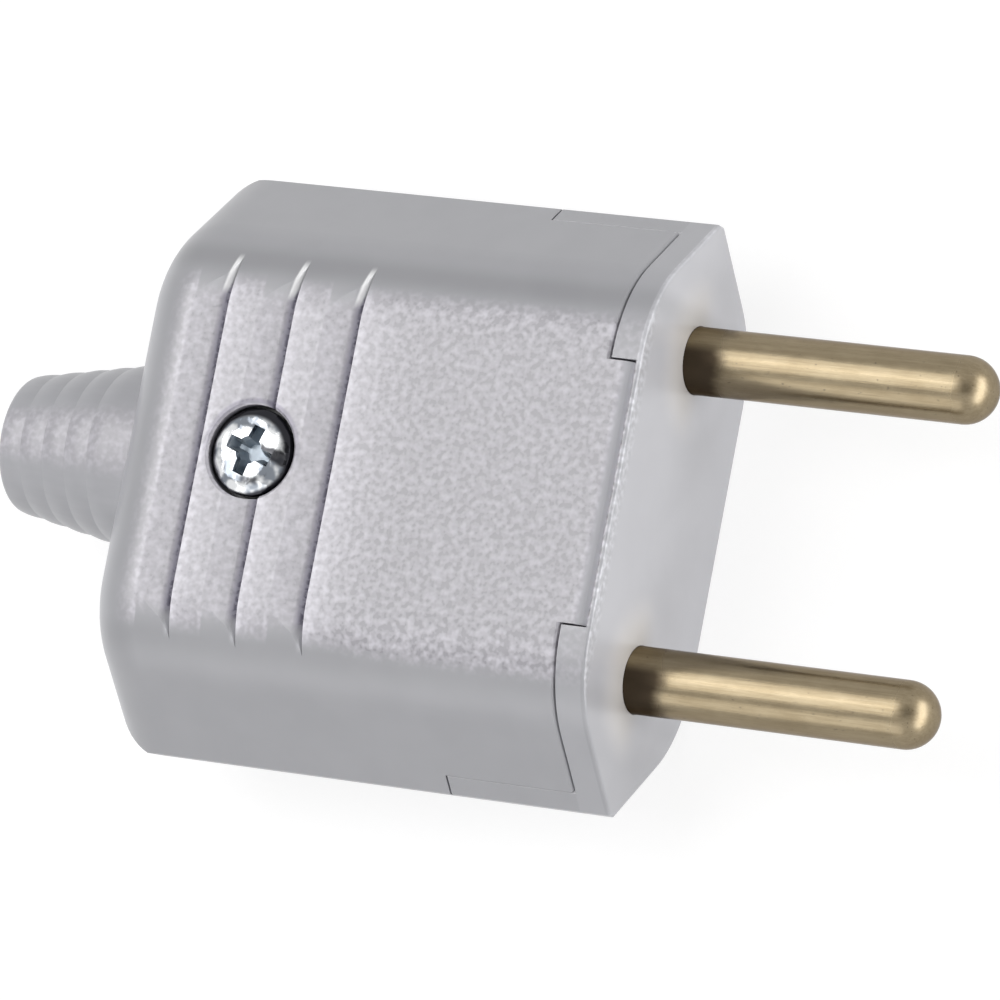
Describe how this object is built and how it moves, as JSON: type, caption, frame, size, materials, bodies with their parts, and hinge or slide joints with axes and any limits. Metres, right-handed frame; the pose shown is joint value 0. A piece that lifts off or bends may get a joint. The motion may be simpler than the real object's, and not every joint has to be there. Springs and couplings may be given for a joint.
{
  "type": "two-pin plug",
  "caption": "Flat mains plug with round pins, a moulded two-part housing with grip grooves, a case screw and a ringed cord sleeve, for wiring by hand.",
  "frame": {"origin": "centre of the mating face, midway between the pins' axes", "axes": "+X along the pins, out of the mating face; +Y across the pins; +Z out of the cover's flat"},
  "size_m": [0.0618, 0.0352, 0.015],
  "materials": {
    "housing": "grey moulded plastic, grained on the cover's flat and smooth on the slopes",
    "sleeve": "soft grey plastic, satin",
    "clamp_bar": "grey moulded plastic",
    "pin": "drawn brass, satin along its length",
    "plated_screw": "bright plated steel",
    "inner_screw": "zinc plated steel"
  },
  "bodies": {
    "root": {"base_shell": "housing", "cover_shell": "housing", "case_screw": "plated_screw", "cord_sleeve": "sleeve", "cord_clamp_bar": "clamp_bar", "pin_left": "pin", "pin_right": "pin", "terminal_screw_left": "inner_screw", "terminal_screw_right": "inner_screw", "clamp_screw_left": "inner_screw", "clamp_screw_right": "inner_screw"}
  },
  "joints": []
}
